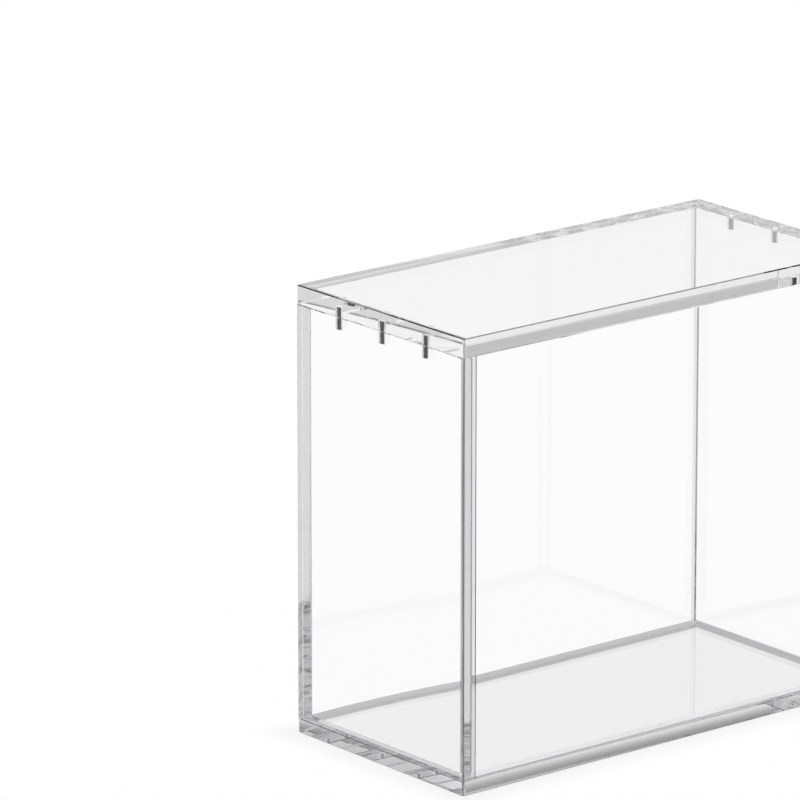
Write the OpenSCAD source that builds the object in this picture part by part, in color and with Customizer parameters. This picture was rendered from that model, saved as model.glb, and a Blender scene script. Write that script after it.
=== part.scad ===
// Clear acrylic display case for trading cards.
// Six polished panels: five are cemented into an open box, and the sixth is a loose lid
// that small bar magnets hold in place.
// The origin is at the middle of the footprint, on the surface that the case stands on.
// X runs along the long side, Y from the front to the back, and Z up.

/* [Room inside] */
// Clear length inside the walls
inner_l = 198; // [120:1:320]
// Clear depth inside the walls
inner_w = 93; // [75:1:200]
// Clear height from the base plate to the lid
inner_h = 171; // [60:1:300]

/* [Sheet thicknesses] */
// Thickness of the base plate
base_t = 6; // [4:0.5:12]
// Thickness of the lid plate
lid_t = 8; // [7:0.5:14]
// Thickness of the two end panels, which hold magnets
end_t = 6; // [5:0.5:12]
// Thickness of the front and back panels
face_t = 5; // [3:0.5:10]

/* [Polished edges] */
// Radius of the upright corners of the lid and the base plate
corner_r = 1; // [0.8:0.1:4]
// Radius on the outer upright edges of the end panels
panel_edge_r = 0.5; // [0.2:0.1:1.2]
// Bevel round the lid, along its top and its underside
lid_bevel = 0.45; // [0.2:0.05:0.7]
// Bevel round the underside of the base plate
base_bevel = 0.45; // [0.2:0.05:0.7]
// Fine bevel round the top of the base plate, where the walls stand
seat_bevel = 0.2; // [0.1:0.05:0.6]
// Fine bevel along the top edges of the walls, where the lid lies
rim_bevel = 0.2; // [0.1:0.05:0.6]

/* [Magnets] */
// Diameter of each magnet
magnet_d = 4; // [2:0.5:4]
// Length of a magnet in the lid
lid_magnet_l = 4; // [2:0.5:6]
// Length of a magnet in an end panel
wall_magnet_l = 5; // [3:0.5:10]
// Small bevel on both rims of a magnet
magnet_rim = 0.2; // [0.1:0.05:0.4]
// Distance from one magnet to the next along an end panel
magnet_pitch = 26.5; // [10:0.5:32]
// Room between a magnet and the wall of its pocket, all round
pocket_gap = 0.05; // [0.02:0.01:0.2]
// Depth of a magnet's face below the surface that it is drilled into
magnet_recess = 0.1; // [0.05:0.05:0.5]

/* [Hidden] */
$fn = 96;
// A cut runs this far past the face that it opens
through = 1;
// Outer sizes
case_l = inner_l + 2 * end_t;
case_w = inner_w + 2 * face_t;
wall_top = base_t + inner_h;
case_h = wall_top + lid_t;
// Magnets stand on the middle plane of the end panels
magnet_x = case_l / 2 - end_t / 2;
pocket_d = magnet_d + 2 * pocket_gap;
// Sides and rows of magnets, as signs along X and Y
left = -1;
right = 1;
front = -1;
middle = 0;
back = 1;
sides = [left, right];
rows = [front, middle, back];

// ---- Shared shapes ----

// Cross-section of a bevelled sheet that lies flat, centred on the first axis
function sheet_section(width, t, low, high) = [
    [-width / 2 + low, 0],
    [width / 2 - low, 0],
    [width / 2, low],
    [width / 2, t - high],
    [width / 2 - high, t],
    [-width / 2 + high, t],
    [-width / 2, t - high],
    [-width / 2, low]
];

// Half of that section, which is turned to make a rounded corner of radius r
function corner_section(r, t, low, high) = [
    [0, 0],
    [r - low, 0],
    [r, low],
    [r, t - high],
    [r - high, t],
    [0, t]
];

// Cross-section of an upright panel from a to b, with both of its top edges bevelled
function wall_section(a, b) = [
    [a, 0],
    [b, 0],
    [b, inner_h - rim_bevel],
    [b - rim_bevel, inner_h],
    [a + rim_bevel, inner_h],
    [a, inner_h - rim_bevel]
];

// Flat plate with upright corners of radius r and a bevel round its underside and its top
module bevelled_plate(l, w, t, r, low, high) {
    // Stretch between the corners along X
    rotate([90, 0, 90])
        translate([0, 0, -l / 2 + r])
            linear_extrude(l - 2 * r)
                polygon(sheet_section(w, t, low, high));
    // Stretch between the corners along Y
    rotate([90, 0, 0])
        translate([0, 0, -w / 2 + r])
            linear_extrude(w - 2 * r)
                polygon(sheet_section(l, t, low, high));
    for (x = [-1, 1], y = [-1, 1])
        translate([x * (l / 2 - r), y * (w / 2 - r), 0])
            rotate_extrude()
                polygon(corner_section(r, t, low, high));
}

// Outline of an end panel seen from above, with its two outer corners rounded.
// Its inner face is on x = 0 and its outer face on x = end_t.
module end_panel_outline() {
    translate([0, -case_w / 2])
        square([end_t - panel_edge_r, case_w]);
    translate([0, -case_w / 2 + panel_edge_r])
        square([end_t, case_w - 2 * panel_edge_r]);
    for (y = [-1, 1])
        translate([end_t - panel_edge_r, y * (case_w / 2 - panel_edge_r)])
            circle(r = panel_edge_r);
}

// An end panel before it is drilled: its outline, pared down to its bevelled section
// along both of its level directions
module end_panel_blank() {
    intersection() {
        linear_extrude(inner_h)
            end_panel_outline();
        rotate([90, 0, 0])
            translate([0, 0, -case_w / 2])
                linear_extrude(case_w)
                    polygon(wall_section(0, end_t));
        rotate([90, 0, 90])
            linear_extrude(end_t)
                polygon(wall_section(-case_w / 2, case_w / 2));
    }
}

// Three pockets along one end, drilled down from z = 0 for magnets of the given length
module pocket_row(magnet_l) {
    depth = magnet_l + magnet_recess;
    for (row = rows)
        translate([0, row * magnet_pitch, -depth])
            cylinder(d = pocket_d, h = depth + through);
}

// One round bar magnet with bevelled rims, standing on z = 0
module bar_magnet(magnet_l) {
    color("silver")
        rotate_extrude()
            polygon(corner_section(magnet_d / 2, magnet_l, magnet_rim, magnet_rim));
}

// ---- The case ----

module base_plate() {
    color("lightcyan", 0.35)
        bevelled_plate(case_l, case_w, base_t, corner_r, base_bevel, seat_bevel);
}

// A long panel stands between the end panels, flush with the edge of the base plate
module long_panel(face) {
    outer_y = face == front ? -case_w / 2 : case_w / 2 - face_t;
    color("lightblue", 0.35)
        translate([-inner_l / 2, 0, base_t])
            rotate([90, 0, 90])
                linear_extrude(inner_l)
                    polygon(wall_section(outer_y, outer_y + face_t));
}

// An end panel covers the ends of both long panels and holds three magnets in its top edge
module end_panel(side) {
    color("powderblue", 0.35)
        difference() {
            mirror([side == left ? 1 : 0, 0, 0])
                translate([inner_l / 2, 0, base_t])
                    end_panel_blank();
            translate([side * magnet_x, 0, wall_top])
                pocket_row(wall_magnet_l);
        }
}

// A magnet at the bottom of its pocket in the top edge of an end panel
module wall_magnet(side, row) {
    translate([side * magnet_x, row * magnet_pitch, wall_top - magnet_recess - wall_magnet_l])
        bar_magnet(wall_magnet_l);
}

// ---- The lid ----

module lid_plate() {
    color("azure", 0.35)
        difference() {
            translate([0, 0, wall_top])
                bevelled_plate(case_l, case_w, lid_t, corner_r, lid_bevel, lid_bevel);
            for (side = sides)
                translate([side * magnet_x, 0, wall_top])
                    mirror([0, 0, 1])
                        pocket_row(lid_magnet_l);
        }
}

// A magnet in the underside of the lid, straight above one in the wall
module lid_magnet(side, row) {
    translate([side * magnet_x, row * magnet_pitch, wall_top + magnet_recess])
        bar_magnet(lid_magnet_l);
}

base_plate();
long_panel(front);  // front_panel
long_panel(back);  // back_panel
end_panel(left);  // left_end_panel
end_panel(right);  // right_end_panel
lid_plate();
wall_magnet(left, front);  // wall_magnet_left_front
wall_magnet(left, middle);  // wall_magnet_left_middle
wall_magnet(left, back);  // wall_magnet_left_back
wall_magnet(right, front);  // wall_magnet_right_front
wall_magnet(right, middle);  // wall_magnet_right_middle
wall_magnet(right, back);  // wall_magnet_right_back
lid_magnet(left, front);  // lid_magnet_left_front
lid_magnet(left, middle);  // lid_magnet_left_middle
lid_magnet(left, back);  // lid_magnet_left_back
lid_magnet(right, front);  // lid_magnet_right_front
lid_magnet(right, middle);  // lid_magnet_right_middle
lid_magnet(right, back);  // lid_magnet_right_back
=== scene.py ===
# %% [markdown]
# # A clear acrylic display case
# The case is six polished sheets of clear acrylic. Five are cemented into an open box, and the
# sixth is a thick lid that lifts straight off. Small bar magnets stand in blind holes in the
# ends of the box and in the lid, one above the other, and hold the lid where it belongs.
# This lesson makes each sheet, the cement in the inside corners and each magnet. It gives them
# their finish, and sets up a white studio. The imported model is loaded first. It says where
# every piece goes, so nothing here is placed by eye.

# %% Load the frame
import math

import bmesh
import bpy
from mathutils import Matrix, Vector


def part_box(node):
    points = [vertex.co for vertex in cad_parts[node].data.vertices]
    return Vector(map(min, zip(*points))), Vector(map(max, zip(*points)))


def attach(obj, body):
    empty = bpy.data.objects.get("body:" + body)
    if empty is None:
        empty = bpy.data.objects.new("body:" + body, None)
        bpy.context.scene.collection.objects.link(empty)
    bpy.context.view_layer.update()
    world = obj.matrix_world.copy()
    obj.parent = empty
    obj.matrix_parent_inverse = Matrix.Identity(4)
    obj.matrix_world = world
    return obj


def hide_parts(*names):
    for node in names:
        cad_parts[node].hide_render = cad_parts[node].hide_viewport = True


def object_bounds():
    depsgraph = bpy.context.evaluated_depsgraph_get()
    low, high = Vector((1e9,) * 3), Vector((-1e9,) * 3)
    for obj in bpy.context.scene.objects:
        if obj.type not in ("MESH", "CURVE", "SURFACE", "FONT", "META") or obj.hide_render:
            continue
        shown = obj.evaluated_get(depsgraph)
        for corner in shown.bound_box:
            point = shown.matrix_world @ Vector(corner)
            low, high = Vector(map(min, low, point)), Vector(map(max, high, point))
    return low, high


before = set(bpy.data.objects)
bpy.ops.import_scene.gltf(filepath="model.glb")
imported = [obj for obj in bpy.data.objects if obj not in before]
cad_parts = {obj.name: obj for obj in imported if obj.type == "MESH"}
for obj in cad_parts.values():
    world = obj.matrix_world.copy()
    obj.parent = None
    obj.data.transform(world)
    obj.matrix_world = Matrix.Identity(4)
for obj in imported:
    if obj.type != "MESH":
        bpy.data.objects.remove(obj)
cad_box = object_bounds()
MM = 0.001

# %% Sizes that the frame gives
case_low, case_high = cad_box
wall_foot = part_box("base_plate")[1].z
wall_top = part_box("lid_plate")[0].z
magnet_low, magnet_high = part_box("wall_magnet_right_back")
lid_magnet_low, lid_magnet_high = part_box("lid_magnet_right_back")
magnet_d = magnet_high.x - magnet_low.x
magnet_side = (magnet_low.x + magnet_high.x) / 2
magnet_pitch = (magnet_low.y + magnet_high.y) / 2
print("case", [round(v / MM, 1) for v in case_high - case_low], "mm")
print("magnets", round(magnet_d / MM, 2), "mm thick, pitch", round(magnet_pitch / MM, 2), "mm")

# %% [markdown]
# ## Sums with sockets
# A material or a Geometry Nodes tree is full of small sums. Written as nodes they are long and
# hard to read, so a small class stands for one socket: adding or multiplying two of them adds
# the Math node that does it. One method makes every other kind of node.

# %% Socket arithmetic
# The colour sockets of a Mix node share their names with its other kinds, so they go by number
MIX_LOW, MIX_HIGH, MIX_RESULT = 6, 7, 2


class Wire:
    """One output of a node. Arithmetic on wires adds the Math nodes that work it out."""

    def __init__(self, tree, socket=None):
        self.tree = tree
        self.socket = socket

    def add(self, kind, settings=None, inputs=None, output=0):
        """Makes a node: its settings first, then the values or links of its sockets."""
        node = self.tree.nodes.new(kind)
        for name, value in (settings or {}).items():
            setattr(node, name, value)
        for name, value in (inputs or {}).items():
            put(node.inputs[name], value)
        return Wire(self.tree, node.outputs[output]) if node.outputs else Wire(self.tree)

    def other(self, output):
        """Another output of the same node."""
        return Wire(self.tree, self.socket.node.outputs[output])

    def math(self, operation, *values):
        """A Math node on this wire and up to two more values."""
        sockets = dict(enumerate((self, *values)))
        return self.add("ShaderNodeMath", {"operation": operation}, sockets)

    def __add__(self, value):
        return self.math("ADD", value)

    __radd__ = __add__

    def __mul__(self, value):
        return self.math("MULTIPLY", value)

    __rmul__ = __mul__

    def __sub__(self, value):
        return self.math("SUBTRACT", value)

    def __rsub__(self, value):
        return (self * -1.0) + value

    def __gt__(self, value):
        return self.math("GREATER_THAN", value)

    def __lt__(self, value):
        return self.math("LESS_THAN", value)

    def __abs__(self):
        return self.math("ABSOLUTE")

    def __or__(self, mask):
        """1 where either of two masks is."""
        return self.math("MAXIMUM", mask)

    def step(self, start, end, low=0.0, high=1.0):
        """A smooth rise from low at start to high at end."""
        settings = {"interpolation_type": "SMOOTHSTEP"}
        sockets = {"Value": self, "From Min": start, "From Max": end, "To Min": low}
        return self.add("ShaderNodeMapRange", settings, {**sockets, "To Max": high})

    def colours(self, low, high):
        """A colour that goes from low, where this wire is 0, to high, where it is 1."""
        sockets = {"Factor": self, MIX_LOW: low, MIX_HIGH: high}
        return self.add("ShaderNodeMix", {"data_type": "RGBA"}, sockets, output=MIX_RESULT)

    def surfaces(self, low, high):
        """A surface that goes from low, where this wire is 0, to high, where it is 1."""
        return self.add("ShaderNodeMixShader", inputs={0: self, 1: low, 2: high})


def put(socket, value):
    """Links a wire to a socket, or sets the socket's own value."""
    if isinstance(value, Wire):
        value.tree.links.new(value.socket, socket)
    else:
        socket.default_value = value


# %% Starting and ending a tree
def new_tree(owner):
    """Empties the tree of a material or a world, and returns a wire to start building from."""
    owner.use_nodes = True
    owner.node_tree.nodes.clear()
    return Wire(owner.node_tree)


def coordinates(start, kind="Object"):
    """The X, Y and Z of a place or a direction, as three wires."""
    place = start.add("ShaderNodeTexCoord", output=kind)
    x = start.add("ShaderNodeSeparateXYZ", inputs={"Vector": place})
    return x, x.other("Y"), x.other("Z")


def clouds(start, scale, detail):
    """Soft noise that stays put on the piece. The scale counts its clouds to the metre."""
    place = start.add("ShaderNodeTexCoord", output="Object")
    sockets = {"Vector": place, "Scale": scale, "Detail": detail}
    return start.add("ShaderNodeTexNoise", inputs=sockets, output="Fac")


def grey(value):
    return (value, value, value, 1.0)


def show(start, **sockets):
    """Links a surface, and a volume where there is one, to the material's output."""
    start.add("ShaderNodeOutputMaterial", inputs=sockets)


# %% [markdown]
# ## Clear acrylic
# Cast acrylic is a little brighter than glass and bends light less, with an index of 1.49. A
# clear sheet is drawn almost wholly by its edges. Light that enters a face and meets an edge
# from inside is mirrored, and runs on along the sheet until it finds a way out. That makes the
# bars of grey and white down the corners, and they only come out right if the sheets are real
# solids with the real thickness. Bars painted on alone would be quicker, and wrong from any
# other side, so painted shade on the sawn edges only deepens their grey.
#
# Solvent cement welds the five sheets of the box into one piece, so light passes straight
# across their seams. The lid only lies on the walls, and the air under it mirrors light. The
# two materials differ in this. The walls' material swaps glass for a plain, faintly grey filter
# on the welded faces, which masks on object coordinates find. A third mask darkens the cement
# in the upright corners, and a fourth puts painted shade on the bevels along the case's outer
# edges, which catch little light. A polished saw cut is never as clear as the face of the sheet,
# so the cut edges have a grey tint of their own, which is partly painted shade for the grey bars.
# The body of the sheet takes a trace of light for each millimetre, and fine patches of slight
# roughness stand for wiping marks.

# %% What acrylic does to light
ACRYLIC_IOR = 1.49
ACRYLIC_TINT = (0.99, 0.99, 0.992, 1.0)
# What the sheet's body takes away: all colours nearly alike, blue a little less
BODY_COLOUR = (0.02, 0.0, 0.06, 1.0)
WALL_DENSITY = 0.9
LID_DENSITY = 0.4
# Light that passes a welded face at a wall's foot, at an upright seam, and at a corner bead
FOOT_KEEPS = (0.93, 0.93, 0.935, 1.0)
END_KEEPS = (0.96, 0.96, 0.965, 1.0)
CORNER_KEEPS = (0.45, 0.45, 0.46, 1.0)
# Painted shade on the bevels along the case's outer edges, which catch little light
PAINTED_EDGE_SHADE = (0.2, 0.2, 0.205, 1.0)
# Grey of the sawn, polished front and back edges of the walls and of the lid: partly painted shade
WALL_SAWN_DULLING_AND_SHADE = (0.72, 0.72, 0.725, 1.0)
LID_SAWN_DULLING_AND_SHADE = (0.87, 0.87, 0.875, 1.0)
# Wiping marks: the clouds that they follow, where those are thick enough, and how rough
HAZE_SCALE = 60.0
HAZE_DETAIL = 3.0
HAZE_SHOWS = (0.45, 0.9)
HAZE_ROUGHNESS = 0.006
print("index", ACRYLIC_IOR, "density of the walls", WALL_DENSITY, "and of the lid", LID_DENSITY)

# %% Where the seams and edges are
# Gap between two sheets that touch, and how far from a seam a face still counts as welded
SEAM = 0.01 * MM
SEAM_REACH = 2.0 * SEAM
# How far a bead of cement reaches along the base and round a corner, and up a wall
BEAD = 0.5 * MM
BEAD_RISE = 1.8 * MM
# How near an outer edge a face counts as its bevel
EDGE_WIDTH = 0.42 * MM
room_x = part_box("front_panel")[1].x
room_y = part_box("back_panel")[0].y
print("room", [round(2 * v / MM, 1) for v in (room_x, room_y)], "mm")


def welded(start):
    """Three masks: the seams at the walls' feet, the upright seams, and the corner beads."""
    x, y, height = coordinates(start)
    across, along = abs(x), abs(y)
    far_x, far_y = across > room_x - BEAD, along > room_y - BEAD
    low = height < wall_foot + BEAD_RISE
    on_foot = abs(height - wall_foot) < SEAM_REACH
    on_end = abs(across - room_x) < SEAM_REACH
    on_side = abs(along - room_y) < SEAM_REACH
    foot = on_foot * (far_x | far_y)
    end = on_end * (far_y | low)
    side = on_side * (far_x | low) * (across < room_x + SEAM_REACH)
    corner = far_x * far_y * (across < room_x - SEAM_REACH) * (along < room_y - SEAM_REACH)
    return foot, end | side, corner * (height > wall_foot + BEAD_RISE)


def outer_edge(start):
    """1 on the bevels along the outer edges of the whole case, where two outer faces meet."""
    x, y, z = coordinates(start)
    middle_z = (case_low.z + case_high.z) / 2
    near_x = abs(x) > case_high.x - EDGE_WIDTH
    near_y = abs(y) > case_high.y - EDGE_WIDTH
    near_z = abs(z - middle_z) > case_high.z - middle_z - EDGE_WIDTH
    # Each is 1 near its own faces, so the sum passes 1.5 only where two of them meet
    return near_x + near_y + near_z > 1.5


def sawn_edge(start):
    """1 on the edges that the end panels and the lid turn to the front and the back."""
    x, y, z = coordinates(start)
    on_y = abs(y) > case_high.y - SEAM_REACH
    on_panel = (abs(x) > room_x) * (z > wall_foot)
    return on_y * (on_panel | (z > wall_top))


# %% Acrylic material
def acrylic(name, density, sawn_dulling_and_shade, cemented):
    material = bpy.data.materials.new(name)
    start = new_tree(material)
    # Partly painted shade: the sawn edges are a little less clear, and greyer than that
    sheet_colour_with_sawn_shade = sawn_edge(start).colours(ACRYLIC_TINT, sawn_dulling_and_shade)
    haze = clouds(start, HAZE_SCALE, HAZE_DETAIL)
    surface = start.add(
        "ShaderNodeBsdfPrincipled",
        inputs={
            # The outer bevels take dark painted shade
            "Base Color": outer_edge(start).colours(sheet_colour_with_sawn_shade, PAINTED_EDGE_SHADE),
            "IOR": ACRYLIC_IOR,
            "Transmission Weight": 1.0,
            "Roughness": haze.step(*HAZE_SHOWS, 0.0, HAZE_ROUGHNESS),
        },
    )
    if cemented:
        for seam, kept in zip(welded(start), (FOOT_KEEPS, END_KEEPS, CORNER_KEEPS)):
            cement = start.add("ShaderNodeBsdfTransparent", inputs={"Color": kept})
            surface = seam.surfaces(surface, cement)
    takes = {"Color": BODY_COLOUR, "Density": density}
    body = start.add("ShaderNodeVolumeAbsorption", inputs=takes)
    show(start, Surface=surface, Volume=body)
    return material


wall_acrylic = acrylic("clear_acrylic", WALL_DENSITY, WALL_SAWN_DULLING_AND_SHADE, cemented=True)
lid_acrylic = acrylic("clear_acrylic_lid", LID_DENSITY, LID_SAWN_DULLING_AND_SHADE, cemented=False)
print("acrylic materials", wall_acrylic.name, lid_acrylic.name)

# %% [markdown]
# ## Nickel plate
# The magnets are sintered bars with a thin nickel plate, slightly cloudy because the bar under
# it is ground. In clear acrylic the middle of such a bar mirrors the dark side of the room and
# looks black, while its flanks mirror the white studio. The pocket round it is so narrow that a
# plain mirror would lose this, so the side carries a painted reflection: a black copy of the metal
# and the bright nickel, which Layer Weight mixes by how squarely the surface faces the eye. The
# flat ends stay bright.

# %% Nickel material
# Darkest and brightest grey of the painted black reflection and of the bright nickel
PAINTED_BLACK_REFLECTION = (0.006, 0.02)
BRIGHT_NICKEL = (0.75, 0.92)
# The clouds in the plate, where they set in, and the roughness on either side
PLATE_SCALE = 900.0
PLATE_DETAIL = 4.0
PLATE_SHOWS = (0.2, 0.8)
PLATE_ROUGHNESS = (0.06, 0.16)
# How far the side turns from the eye to be bright, and how far up or down an end looks
FLANK_STARTS = (0.3, 0.55)
END_STARTS = (0.6, 0.9)


def cloudy_metal(start, cloud, darkest, brightest):
    """A cloudy metal between two greys."""
    return start.add(
        "ShaderNodeBsdfPrincipled",
        inputs={
            "Base Color": cloud.colours(grey(darkest), grey(brightest)),
            "Metallic": 1.0,
            "Roughness": cloud.step(*PLATE_SHOWS, *PLATE_ROUGHNESS),
        },
    )


def nickel():
    material = bpy.data.materials.new("nickel_magnet")
    start = new_tree(material)
    cloud = clouds(start, PLATE_SCALE, PLATE_DETAIL)
    painted_black_reflection, bright_nickel = cloudy_metal(start, cloud, *PAINTED_BLACK_REFLECTION), cloudy_metal(start, cloud, *BRIGHT_NICKEL)
    turned_away = start.add("ShaderNodeLayerWeight", inputs={"Blend": 0.5}, output="Facing")
    upward = coordinates(start, "Normal")[2]
    # Painted reflection: the flanks and the ends show the bright nickel, the middle the black copy
    rim = turned_away.step(*FLANK_STARTS) | abs(upward).step(*END_STARTS)
    show(start, Surface=rim.surfaces(painted_black_reflection, bright_nickel))
    return material


magnet_nickel = nickel()
print("magnet material", magnet_nickel.name)

# %% [markdown]
# ## Rows of bar magnets
# Twelve magnets stand in four rows of three. They repeat by a rule, so a Geometry Nodes tree
# makes them: a circle is swept up a short line of points, each point sets how wide the circle
# is there, and the bar is copied onto a small grid. Cylinders placed by hand would have sharp
# rims, and each would have to be moved again if the pitch changed. The same tree, with a
# slightly larger diameter and no rims, makes the tool that drills their pockets.

# %% One bar
RIM_STEPS = 4
BAR_SIDES = 64


def bar_shape(start, sizes):
    """A circle swept up a line of points, which each have a height and a girth."""
    radius = sizes.other("Diameter") * 0.5
    length, rim = sizes.other("Length"), sizes.other("Rim")
    # Points 0 to RIM_STEPS round the lower rim, and the rest round the upper one
    count = 2 * RIM_STEPS + 2
    index = start.add("GeometryNodeInputIndex")
    turn = index.math("MINIMUM", (count - 1) - index) * (math.pi / 2 / RIM_STEPS)
    rise = rim * (1.0 - turn.math("COSINE"))
    upper = index > RIM_STEPS + 0.5
    height = rise + upper * (length - rise * 2.0)
    girth = radius - rim * (1.0 - turn.math("SINE"))
    line = start.add("GeometryNodeMeshLine", inputs={"Count": count, "Offset": (0.0, 0.0, MM)})
    curve = start.add("GeometryNodeMeshToCurve", inputs={"Mesh": line})
    spot = start.add("ShaderNodeCombineXYZ", inputs={"Z": height})
    curve = start.add("GeometryNodeSetPosition", inputs={"Geometry": curve, "Position": spot})
    circle = {"Resolution": BAR_SIDES, "Radius": 1.0}
    ring = start.add("GeometryNodeCurvePrimitiveCircle", inputs=circle)
    sweep = {"Curve": curve, "Profile Curve": ring, "Scale": girth, "Fill Caps": True}
    return start.add("GeometryNodeCurveToMesh", inputs=sweep)


# %% Bar row tree
MAGNETS_IN_ROW = 3
BAR_INPUTS = {
    "Diameter": "NodeSocketFloat",
    "Length": "NodeSocketFloat",
    "Rim": "NodeSocketFloat",
    "Pitch": "NodeSocketFloat",
    "Side Distance": "NodeSocketFloat",
    "Base Height": "NodeSocketFloat",
    "Material": "NodeSocketMaterial",
}


def bar_row_tree():
    tree = bpy.data.node_groups.new("bar_rows", "GeometryNodeTree")
    for name, kind in BAR_INPUTS.items():
        tree.interface.new_socket(name, in_out="INPUT", socket_type=kind)
    tree.interface.new_socket("Geometry", in_out="OUTPUT", socket_type="NodeSocketGeometry")
    start = Wire(tree)
    sizes = start.add("NodeGroupInput")
    grid = {
        "Size X": sizes.other("Side Distance") * 2.0,
        "Size Y": sizes.other("Pitch") * (MAGNETS_IN_ROW - 1.0),
        "Vertices X": 2,
        "Vertices Y": MAGNETS_IN_ROW,
    }
    copying = {
        "Points": start.add("GeometryNodeMeshGrid", inputs=grid),
        "Instance": bar_shape(start, sizes),
    }
    lifting = {
        "Instances": start.add("GeometryNodeInstanceOnPoints", inputs=copying),
        "Translation": start.add("ShaderNodeCombineXYZ", inputs={"Z": sizes.other("Base Height")}),
        "Local Space": False,
    }
    lifted = start.add("GeometryNodeTranslateInstances", inputs=lifting)
    solid = start.add("GeometryNodeRealizeInstances", inputs={"Geometry": lifted})
    paint = {"Geometry": solid, "Material": sizes.other("Material")}
    painted = start.add("GeometryNodeSetMaterial", inputs=paint)
    start.add("NodeGroupOutput", inputs={"Geometry": painted})
    return tree


bar_rows = bar_row_tree()
print("tree", bar_rows.name, "with", len(bar_rows.nodes), "nodes")

# %% Turning a tree into a plain mesh
# Round sides are shaded smooth, and edges that turn more than this stay crisp
BAR_SMOOTH = math.radians(40)


def new_piece(name, mesh):
    piece = bpy.data.objects.new(name, mesh)
    bpy.context.scene.collection.objects.link(piece)
    return piece


def settle(piece, smooth_below):
    """Turns the piece's modifiers into its plain mesh, crisp at edges above an angle."""
    view = bpy.context.evaluated_depsgraph_get()
    mesh = bpy.data.meshes.new_from_object(piece.evaluated_get(view))
    piece.modifiers.clear()
    piece.data = mesh
    mesh.name = piece.name
    mesh.set_sharp_from_angle(angle=smooth_below)
    return piece


def bars(name, low, high, **values):
    """Six bars from the tree that reach from one height to another, as a plain mesh."""
    values.update(base_height=low, length=high - low, pitch=magnet_pitch, side_distance=magnet_side)
    piece = new_piece(name, bpy.data.meshes.new(name))
    modifier = piece.modifiers.new("bar_rows", "NODES")
    modifier.node_group = bar_rows
    for item in bar_rows.interface.items_tree:
        if item.item_type == "SOCKET" and item.in_out == "INPUT":
            modifier[item.identifier] = values[item.name.lower().replace(" ", "_")]
    return settle(piece, BAR_SMOOTH)


# %% The magnets
MAGNET_RIM = 0.25 * MM
magnet = dict(diameter=magnet_d, rim=MAGNET_RIM, material=magnet_nickel)
wall_magnets = bars("wall_magnets", magnet_low.z, magnet_high.z, **magnet)
lid_magnets = bars("lid_magnets", lid_magnet_low.z, lid_magnet_high.z, **magnet)
for piece in (wall_magnets, lid_magnets):
    print(piece.name, len(piece.data.polygons), "faces")

# %% [markdown]
# ## Pockets
# Each magnet stands in a blind hole drilled from the seam between the walls and the lid. The
# drill is a little wider than the magnet, and the thin air gap round it is what makes a pocket
# show as a bright outline in clear acrylic. A Boolean modifier cuts the sheets with it later,
# because that leaves one closed wall round each magnet.

# %% The drills
# Room round a magnet and at its end, and how far a cut runs past the face that it opens
POCKET_GAP = 0.05 * MM
END_GAP = 0.01 * MM
CUT_RUN = 1.0 * MM
drill_d = magnet_d + 2 * POCKET_GAP
wall_drill = bars(
    "wall_drill", magnet_low.z - END_GAP, wall_top + CUT_RUN,
    diameter=drill_d, rim=0.0, material=wall_acrylic,
)
lid_drill = bars(
    "lid_drill", wall_top - CUT_RUN, lid_magnet_high.z + END_GAP,
    diameter=drill_d, rim=0.0, material=lid_acrylic,
)
print("drills", round(drill_d / MM, 2), "mm thick")

# %% [markdown]
# ## Sheets
# A sheet starts as a plain block between two corners. Its upright edges are rounded, and the
# long edges that hands touch are bevelled. One Bevel modifier would give every edge the same
# width, so bmesh bevels them in turn. Sheets that are cemented together really touch, but two
# faces in exactly the same place would confuse the light, so each sheet stands back from its
# neighbour by a hundredth of a millimetre, and the acrylic material lets light across.

# %% Finding edges
# Two points within this are at the same height
SAME_HEIGHT = SEAM / 10
# An upright edge that turns more than this, in radians, is still sharp
SHARP_ABOVE = 1.0


def upright(edge):
    a, b = (v.co for v in edge.verts)
    return abs(a.x - b.x) < SEAM and abs(a.y - b.y) < SEAM


def sharp_upright(edge):
    return upright(edge) and edge.calc_face_angle(0) > SHARP_ABOVE


def level_at(edge, height):
    return all(abs(v.co.z - height) < SAME_HEIGHT for v in edge.verts)


# %% Sheet maker
CORNER_STEPS = 8
SMOOTH_BELOW = math.radians(30)


def block(low, high):
    """A bmesh block between two corners."""
    shape = bmesh.new()
    bmesh.ops.create_cube(shape, size=1.0)
    size, middle = high - low, (low + high) / 2
    move = Matrix.Translation(middle) @ Matrix.Diagonal((*size, 1.0))
    bmesh.ops.transform(shape, matrix=move, verts=shape.verts)
    return shape


def bevel(shape, edges, width, steps=1):
    bmesh.ops.bevel(
        shape, geom=edges, offset=width, segments=steps, profile=0.5, affect="EDGES",
        clamp_overlap=True,
    )


def to_mesh(name, shape):
    mesh = bpy.data.meshes.new(name)
    shape.to_mesh(mesh)
    shape.free()
    return mesh


def sheet(
    name, low, high, material,
    corner=0.0, corners=lambda edge: True, low_bevel=0.0, high_bevel=0.0, arris=0.0,
):
    """A sheet with rounded upright edges, and bevels round its underside and its top."""
    shape = block(low, high)
    if corner:
        edges = [edge for edge in shape.edges if upright(edge) and corners(edge)]
        bevel(shape, edges, corner, CORNER_STEPS)
    if arris:
        bevel(shape, [edge for edge in shape.edges if sharp_upright(edge)], arris)
    for height, width in ((low.z, low_bevel), (high.z, high_bevel)):
        if width:
            bevel(shape, [edge for edge in shape.edges if level_at(edge, height)], width)
    bmesh.ops.recalc_face_normals(shape, faces=shape.faces)
    for face in shape.faces:
        face.smooth = True
    mesh = to_mesh(name, shape)
    mesh.materials.append(material)
    mesh.set_sharp_from_angle(angle=SMOOTH_BELOW)
    return new_piece(name, mesh)


def drilled(piece, drill):
    """Cuts the drill's shape out of the piece."""
    cut = piece.modifiers.new("pockets", "BOOLEAN")
    cut.operation = "DIFFERENCE"
    cut.solver = "EXACT"
    cut.object = drill
    return settle(piece, SMOOTH_BELOW)


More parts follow.
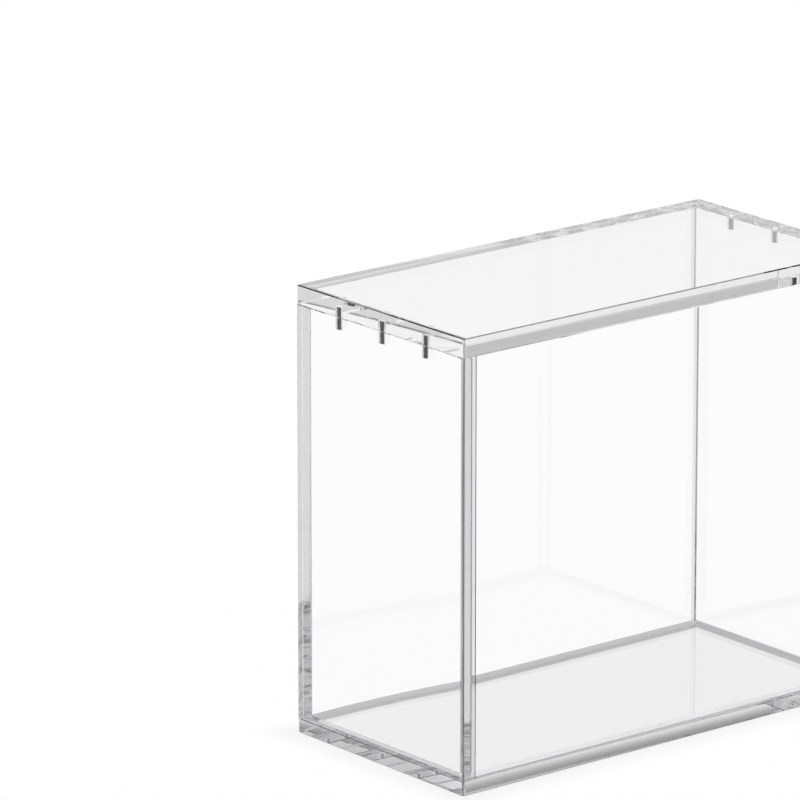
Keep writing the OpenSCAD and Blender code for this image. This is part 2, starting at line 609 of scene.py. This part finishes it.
# %% Base and lid
CORNER = 1.0 * MM
LID_BEVEL = 0.45 * MM
BASE_BEVEL = 0.45 * MM
SEAT_BEVEL = 0.2 * MM
up_seam = Vector((0, 0, SEAM))
base_low, base_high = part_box("base_plate")
base_sheet = sheet(
    "base_sheet", base_low, base_high - up_seam, wall_acrylic,
    corner=CORNER, low_bevel=BASE_BEVEL, high_bevel=SEAT_BEVEL,
)
lid_low, lid_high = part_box("lid_plate")
lid_sheet = sheet(
    "lid_sheet", lid_low + up_seam, lid_high, lid_acrylic,
    corner=CORNER, low_bevel=LID_BEVEL, high_bevel=LID_BEVEL,
)
drilled(lid_sheet, lid_drill)
for piece in (base_sheet, lid_sheet):
    print(piece.name, len(piece.data.polygons), "faces")

# %% Walls
# Bevel along a wall's top, the round of an end panel's outer edges, and a fine arris elsewhere
RIM_BEVEL = 0.2 * MM
PANEL_EDGE = 0.5 * MM
ARRIS = 0.2 * MM
wall_edges = dict(high_bevel=RIM_BEVEL, low_bevel=ARRIS, arris=ARRIS)
end_seam = Vector((SEAM, 0, 0))
walls = []
for name, node in (("front_sheet", "front_panel"), ("back_sheet", "back_panel")):
    low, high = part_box(node)
    walls.append(sheet(name, low + end_seam, high - end_seam, wall_acrylic, **wall_edges))
for name, node, outer in (
    ("left_end_sheet", "left_end_panel", case_low.x),
    ("right_end_sheet", "right_end_panel", case_high.x),
):
    wall = sheet(
        name, *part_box(node), wall_acrylic, corner=PANEL_EDGE,
        corners=lambda edge: abs(edge.verts[0].co.x - outer) < SEAM, **wall_edges,
    )
    walls.append(drilled(wall, wall_drill))
for wall in walls:
    print(wall.name, len(wall.data.polygons), "faces")
for drill in (wall_drill, lid_drill):
    bpy.data.objects.remove(drill)

# %% [markdown]
# ## Cement beads
# The cement runs along every inside corner of the box and sets there as a small clear fillet.
# It is what draws the grey line where a wall meets the base. The beads are one piece: a block
# that fills the room, with a block cut out of it whose lower and upright edges are bevelled. At
# the foot the bevel is drawn up, because cement climbs a wall further than it creeps over the
# base. The beads' faces along the walls and the base are welded ones.

# %% Cement beads
# How far below the walls' tops the beads in the upright corners stop
BEAD_STOPS = 4.0 * SEAM


def bead_piece():
    low = Vector((-room_x, -room_y, wall_foot)) + Vector((SEAM, SEAM, 0.0))
    high = Vector((room_x, room_y, wall_top)) - Vector((SEAM, SEAM, BEAD_STOPS))
    room = sheet("cement_beads", low, high, wall_acrylic)
    hollow = block(low, high + Vector((0, 0, CUT_RUN)))
    inner = [edge for edge in hollow.edges if upright(edge) or level_at(edge, low.z)]
    bevel(hollow, inner, BEAD)
    for corner in hollow.verts:
        if abs(corner.co.z - low.z - BEAD) < SEAM:
            corner.co.z = low.z + BEAD_RISE
    bmesh.ops.recalc_face_normals(hollow, faces=hollow.faces)
    tool = new_piece("room_tool", to_mesh("room_tool", hollow))
    drilled(room, tool)
    bpy.data.objects.remove(tool)
    return room


beads = bead_piece()
print("beads", len(beads.data.polygons), "faces")

# %% [markdown]
# ## What rides on what
# The box with its beads and lower magnets stays where it stands. The lid lifts straight off and
# takes the upper magnets along. Each piece made here hangs from the body that carries it and,
# apart from the beads, the model's plain solid that it stands for is hidden. Nothing is moved by
# hand, so the same scene is right with the lid raised.

# %% What rides on what
for piece, node in (
    (base_sheet, "base_plate"), (walls[0], "front_panel"), (walls[1], "back_panel"),
    (walls[2], "left_end_panel"), (walls[3], "right_end_panel"),
):
    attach(piece, "case")
    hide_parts(node)
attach(beads, "case")
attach(lid_sheet, "lid")
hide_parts("lid_plate")
spots = [f"{side}_{row}" for side in ("left", "right") for row in ("front", "middle", "back")]
for piece, body, kind in ((wall_magnets, "case", "wall"), (lid_magnets, "lid", "lid")):
    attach(piece, body)
    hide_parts(*[f"{kind}_magnet_{spot}" for spot in spots])
print("magnets in a body", len(spots))

# %% [markdown]
# ## Floor and studio
# Clear acrylic has no look of its own: it shows what stands round it. The floor is plain white
# and lit evenly, so it renders white and keeps a faint shade round the base. Close to the case
# light can't get under the walls, so a ring of floor there is darker when it is seen through
# the acrylic. The room's lower edges and the edge of the base mirror that ring.
#
# The edges also bend and mirror the studio: near white all round, with a soft grey ceiling and
# with grey strips between the soft boxes. The strips are there only for light that leaves the
# acrylic, so that they draw its edges and leave the lid's top white.

# %% Floor
FLOOR_REACH = 6.0
FLOOR_DROP = 0.1 * MM
turns = ((-1, -1), (1, -1), (1, 1), (-1, 1))
floor_mesh = bpy.data.meshes.new("floor")
floor_mesh.from_pydata(
    [(x * FLOOR_REACH, y * FLOOR_REACH, -FLOOR_DROP) for x, y in turns], [], [(0, 1, 2, 3)]
)
floor = new_piece("floor", floor_mesh)
print("floor", 2 * FLOOR_REACH, "m across")

# %% Floor material
# A white floor that is looked at glows by this much, and the rest of it is lit and shaded
FLOOR_GLOW = 0.9
# A diffuse depth below this says that the light has met no matt surface on its way
NO_MATT_YET = 0.5
# The ring of shade: its reach beyond the case, how dark it is through the acrylic and to the
# eye, and how softly it begins under the walls
SHADE_REACH = 16.0 * MM
SHADE_DEPTH = 0.72
SHADE_SEEN = 0.08
SHADE_EDGE = 1.5 * MM


def ring_of_shade(start):
    """Sets in softly under the walls, and fades out beyond the case."""
    x, y, _ = coordinates(start)
    beyond = (abs(x) - case_high.x).math("MAXIMUM", abs(y) - case_high.y)
    wall_t = case_high.x - room_x
    return beyond.step(-wall_t, SHADE_EDGE - wall_t) * beyond.step(0.0, SHADE_REACH, 1.0, 0.0)


def white_floor():
    material = bpy.data.materials.new("white_floor")
    start = new_tree(material)
    path = start.add("ShaderNodeLightPath", output="Is Camera Ray")
    seen = path | path.other("Is Glossy Ray") | path.other("Is Transmission Ray")
    seen = seen * (path.other("Diffuse Depth") < NO_MATT_YET) * FLOOR_GLOW
    depth = path * (SHADE_SEEN - SHADE_DEPTH) + SHADE_DEPTH
    lit = start.add("ShaderNodeBsdfDiffuse", inputs={"Color": grey(1.0)})
    glow = start.add("ShaderNodeEmission", inputs={"Color": 1.0 - ring_of_shade(start) * depth})
    show(start, Surface=seen.surfaces(lit, glow))
    return material


floor_mesh.materials.append(white_floor())
print("floor material", floor_mesh.materials[0].name)

# %% Studio
LOOK_YAW = math.radians(39.291)
LOOK_PITCH = math.radians(16.086)
ROOM_LIGHT = 0.98
# Where a strip's foot and top and the ceiling set in: 0 is level, and 1 is straight up
STRIP_FOOT = (0.19, 0.23)
STRIP_TOP = (0.36, 0.42)
CEILING_FOOT = (0.5, 0.8)
# Where the strips begin and end along the view: 0 is at its side, 1 is ahead or behind
STRIPS_AHEAD = (0.75, 0.9)
STRIPS_ASIDE = (0.25, 0.4)
# Light that the strips ahead and behind take, the strips at the sides, and the ceiling
AHEAD_TAKES = 0.37
ASIDE_TAKES = 0.25
CEILING_TAKES = 0.3


def studio():
    world = bpy.data.worlds.new("studio")
    bpy.context.scene.world = world
    start = new_tree(world)
    path = start.add("ShaderNodeLightPath", output="Is Camera Ray")
    x, y, z = coordinates(start, "Generated")
    view = abs(x * math.sin(LOOK_YAW) + y * math.cos(LOOK_YAW))
    strip = z.step(*STRIP_FOOT) * z.step(*STRIP_TOP, 1.0, 0.0) * path.other("Is Transmission Ray")
    light = ROOM_LIGHT - strip * view.step(*STRIPS_AHEAD) * AHEAD_TAKES
    light = light - strip * view.step(*STRIPS_ASIDE, 1.0, 0.0) * ASIDE_TAKES
    light = light - z.step(*CEILING_FOOT) * CEILING_TAKES
    # The eye and matt surfaces have plain white round them
    plain = path | (path.other("Diffuse Depth") > NO_MATT_YET)
    sky = {"Color": grey(1.0), "Strength": light + plain * (1.0 - light)}
    background = start.add("ShaderNodeBackground", inputs=sky)
    start.add("ShaderNodeOutputWorld", inputs={"Surface": background})
    world.cycles.sampling_method = "NONE"
    return world


print("world", studio().name)

# %% [markdown]
# ## Camera
# The camera's place, turn and lens are those that put the case's corners where the photograph
# has them, at the case's real size. It is a long lens from over three metres away, so the far
# side of the case is hardly smaller than the near one.

# %% Camera
CAMERA_PLACE = (-2.00414, -2.33372, 1.01692)
LENS = 362.53
SENSOR = 36.0
SEES_TO = 100.0
camera = bpy.data.objects.new("camera", bpy.data.cameras.new("camera"))
bpy.context.scene.collection.objects.link(camera)
bpy.context.scene.camera = camera
camera.location = CAMERA_PLACE
level = math.cos(LOOK_PITCH)
look = Vector((math.sin(LOOK_YAW) * level, math.cos(LOOK_YAW) * level, -math.sin(LOOK_PITCH)))
camera.rotation_mode = "QUATERNION"
camera.rotation_quaternion = look.to_track_quat("-Z", "Y")
camera.data.sensor_width = SENSOR
camera.data.lens = LENS
camera.data.clip_end = SEES_TO
print("camera", round(camera.location.length, 2), "m away")

# %% [markdown]
# ## Light through many faces
# A line of sight crosses up to twenty faces of acrylic here. A renderer gives up after a set
# number of crossings and shows black, so the limits go well above twenty. Blurring of
# reflections is off, because it would smear the fine lines that the edges draw.

# %% Light through many faces
BOUNCES = 32
cycles = bpy.context.scene.cycles
for limit in (
    "max_bounces", "transmission_bounces", "glossy_bounces", "transparent_max_bounces",
    "diffuse_bounces",
):
    setattr(cycles, limit, BOUNCES)
cycles.blur_glossy = 0.0
bpy.context.scene.view_settings.view_transform = "Standard"
print("bounces", cycles.max_bounces)
